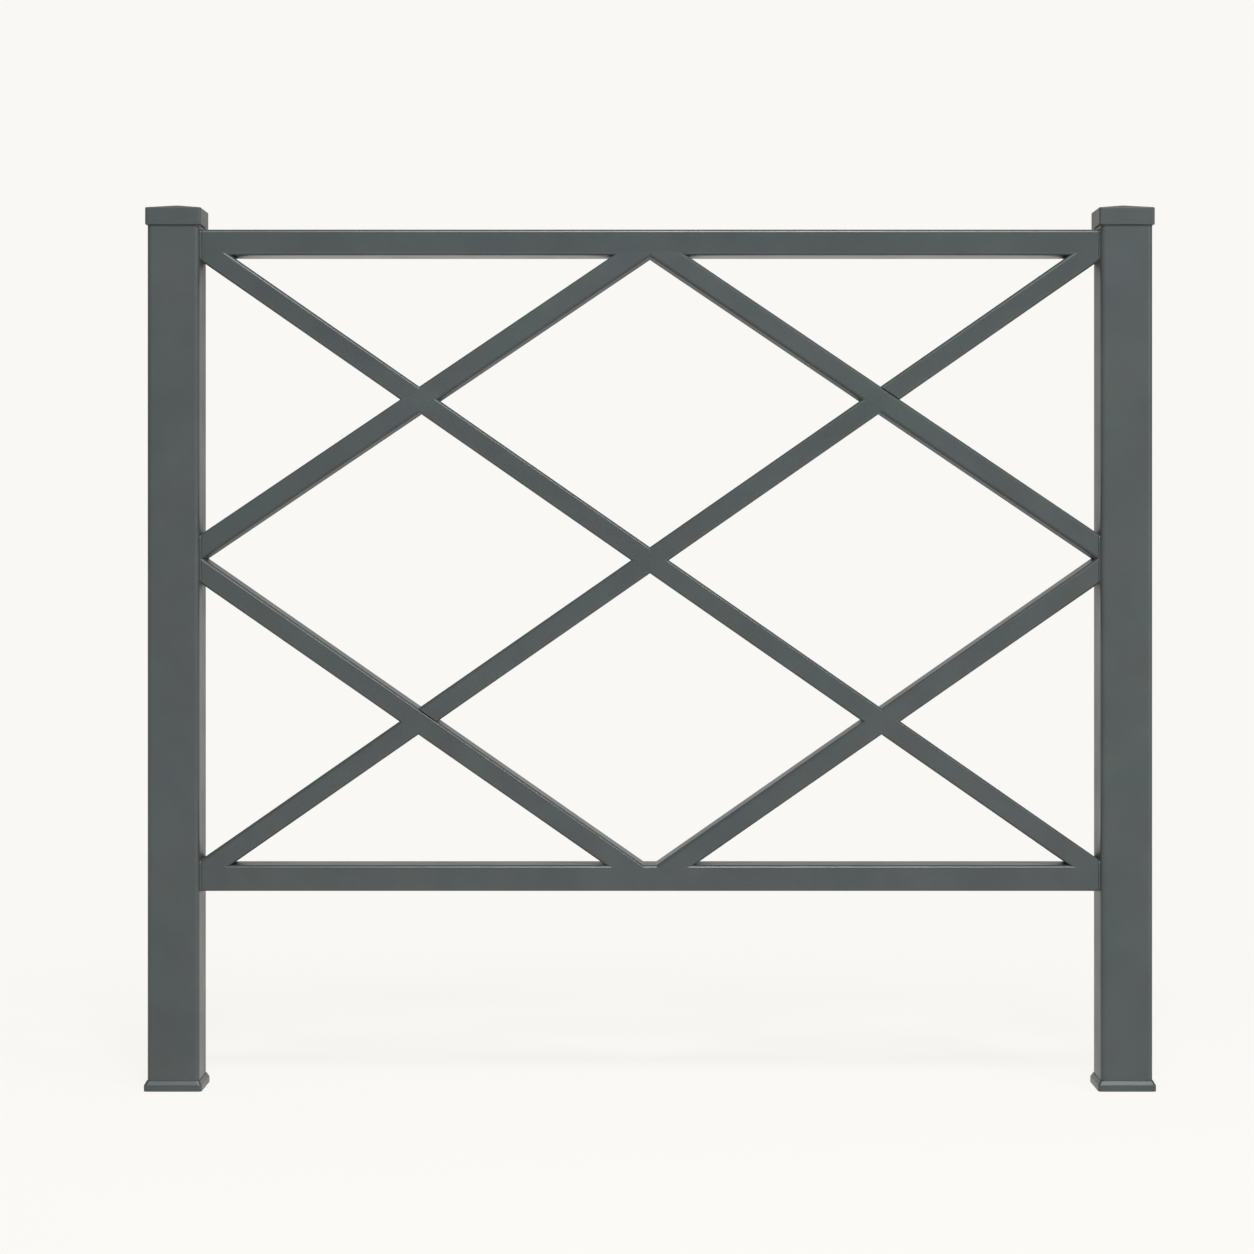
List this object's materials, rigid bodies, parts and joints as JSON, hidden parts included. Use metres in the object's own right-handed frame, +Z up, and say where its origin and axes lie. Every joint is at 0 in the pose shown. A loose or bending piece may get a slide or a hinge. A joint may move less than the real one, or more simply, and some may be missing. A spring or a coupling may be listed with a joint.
{
  "type": "street barrier",
  "caption": "Low steel street barrier: two capped square posts, two rails and a rhombus lattice crossed by two diagonals.",
  "frame": {"origin": "middle of the left foot's underside, at ground level", "axes": "+X along the barrier to the right post, +Y away from the viewer through the barrier, +Z up"},
  "size_m": [1.167, 0.067, 1.0245],
  "materials": {
    "powder_coat": "satin dark grey-green powder coat over steel"
  },
  "bodies": {
    "root": {"left_post": "powder_coat", "right_post": "powder_coat", "left_post_cap": "powder_coat", "right_post_cap": "powder_coat", "left_foot": "powder_coat", "right_foot": "powder_coat", "top_rail": "powder_coat", "bottom_rail": "powder_coat", "upper_left_bar": "powder_coat", "upper_right_bar": "powder_coat", "lower_left_bar": "powder_coat", "lower_right_bar": "powder_coat", "rising_diagonal_bottom": "powder_coat", "rising_diagonal_middle": "powder_coat", "rising_diagonal_top": "powder_coat", "falling_diagonal_top": "powder_coat", "falling_diagonal_upper": "powder_coat", "falling_diagonal_lower": "powder_coat", "falling_diagonal_bottom": "powder_coat"}
  },
  "joints": []
}
